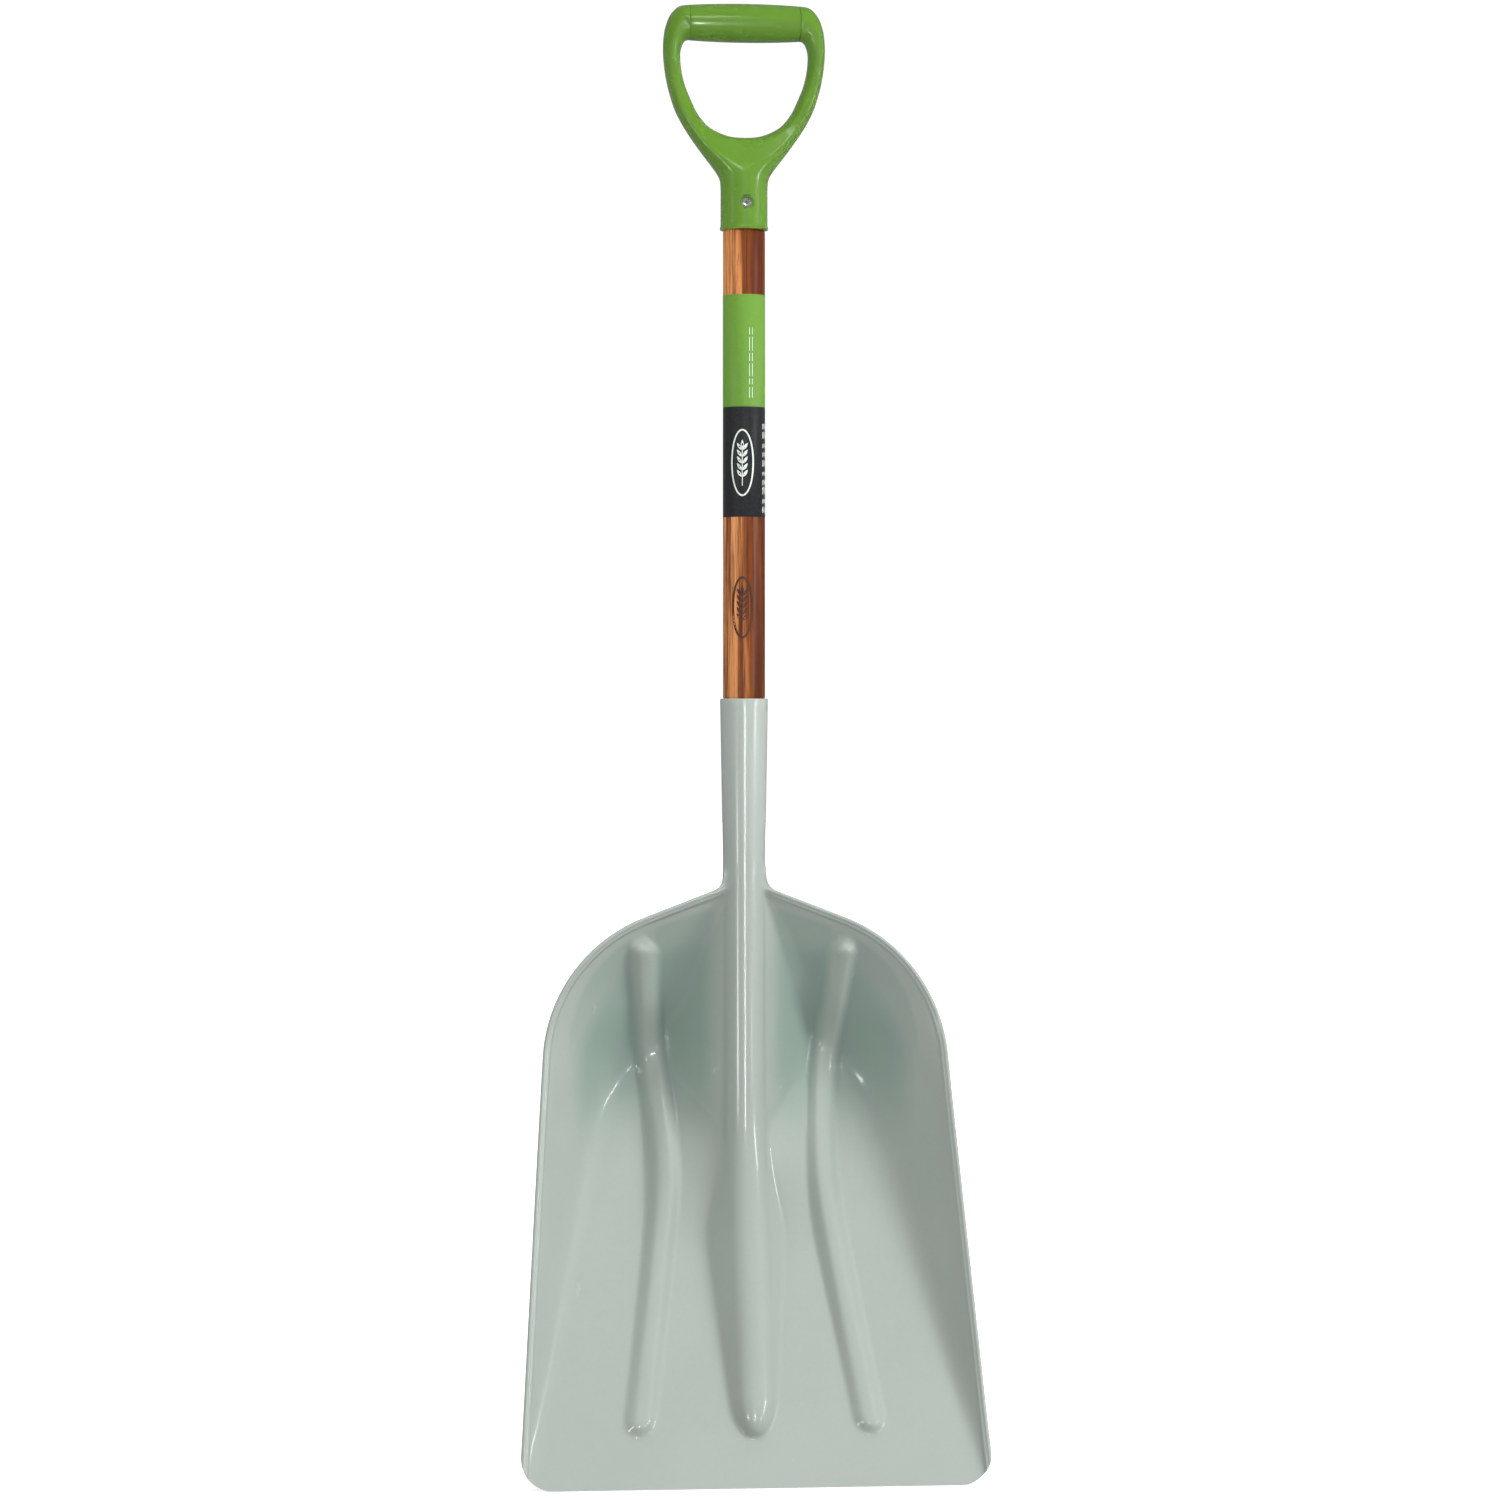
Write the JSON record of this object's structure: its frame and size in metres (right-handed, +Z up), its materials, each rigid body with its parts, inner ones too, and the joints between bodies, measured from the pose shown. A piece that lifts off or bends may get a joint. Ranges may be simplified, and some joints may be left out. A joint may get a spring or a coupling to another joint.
{
  "type": "scoop shovel",
  "caption": "Long-handled scoop shovel: deep ribbed moulded plastic scoop with a flanged rim, straight wooden shaft, and a D-shaped plastic hand grip.",
  "frame": {"origin": "centre of the bounding box in X and Y, at the level of the cutting edge", "axes": "+Z up along the shaft from the cutting edge to the hand grip, -Y is the open front of the scoop, X = 0 is the mirror plane"},
  "size_m": [0.4004, 0.159, 1.27],
  "materials": {
    "scoop_plastic": "smooth, fairly glossy moulded surface, pale grey-green",
    "lacquered_wood": "clear lacquer over straight fine grain, reddish brown",
    "grip_plastic": "smooth glossy moulded surface, apple green",
    "plated_steel": "bright plated",
    "label_film": "printed film, green above and charcoal below"
  },
  "bodies": {
    "root": {"scoop": "scoop_plastic", "shaft": "lacquered_wood", "grip_frame": "grip_plastic", "grip_bar_front": "grip_plastic", "grip_bar_rear": "grip_plastic", "grip_rivet": "plated_steel", "scoop_screw": "plated_steel", "wrap_label": "label_film"}
  },
  "joints": []
}
